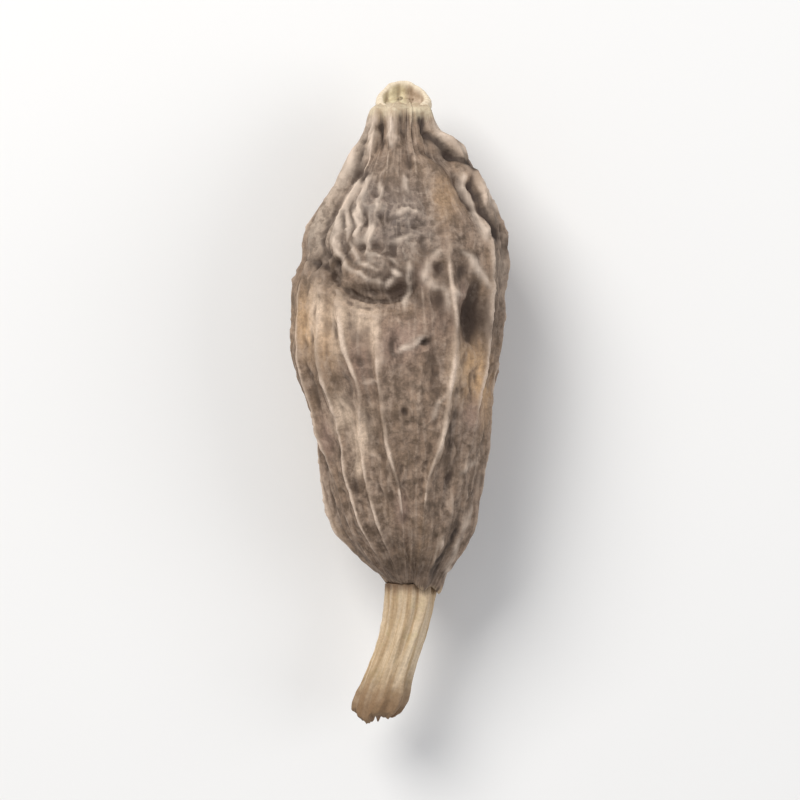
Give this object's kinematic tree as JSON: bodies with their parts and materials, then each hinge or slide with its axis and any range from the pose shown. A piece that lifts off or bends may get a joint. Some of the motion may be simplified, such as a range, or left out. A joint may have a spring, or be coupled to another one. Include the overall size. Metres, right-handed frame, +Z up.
{
  "type": "black cardamom pod",
  "caption": "Dried, ribbed spice pod lying on its side, with a bent stalk at one end and the withered rim of its flower at the tip.",
  "frame": {"origin": "on the surface that the pod lies on, under the middle of the pod's bounding box", "axes": "+Y along the pod from the stalk to the tip, +Z up from the surface it lies on, +X to the right as seen from above with the tip away from the viewer"},
  "size_m": [0.0134, 0.0397, 0.012],
  "materials": {
    "dried_husk": "matte",
    "dried_stalk": "matte",
    "withered_rim": "matte"
  },
  "bodies": {
    "root": {"husk": "dried_husk", "stalk": "dried_stalk", "flower_rim": "withered_rim"}
  },
  "joints": []
}
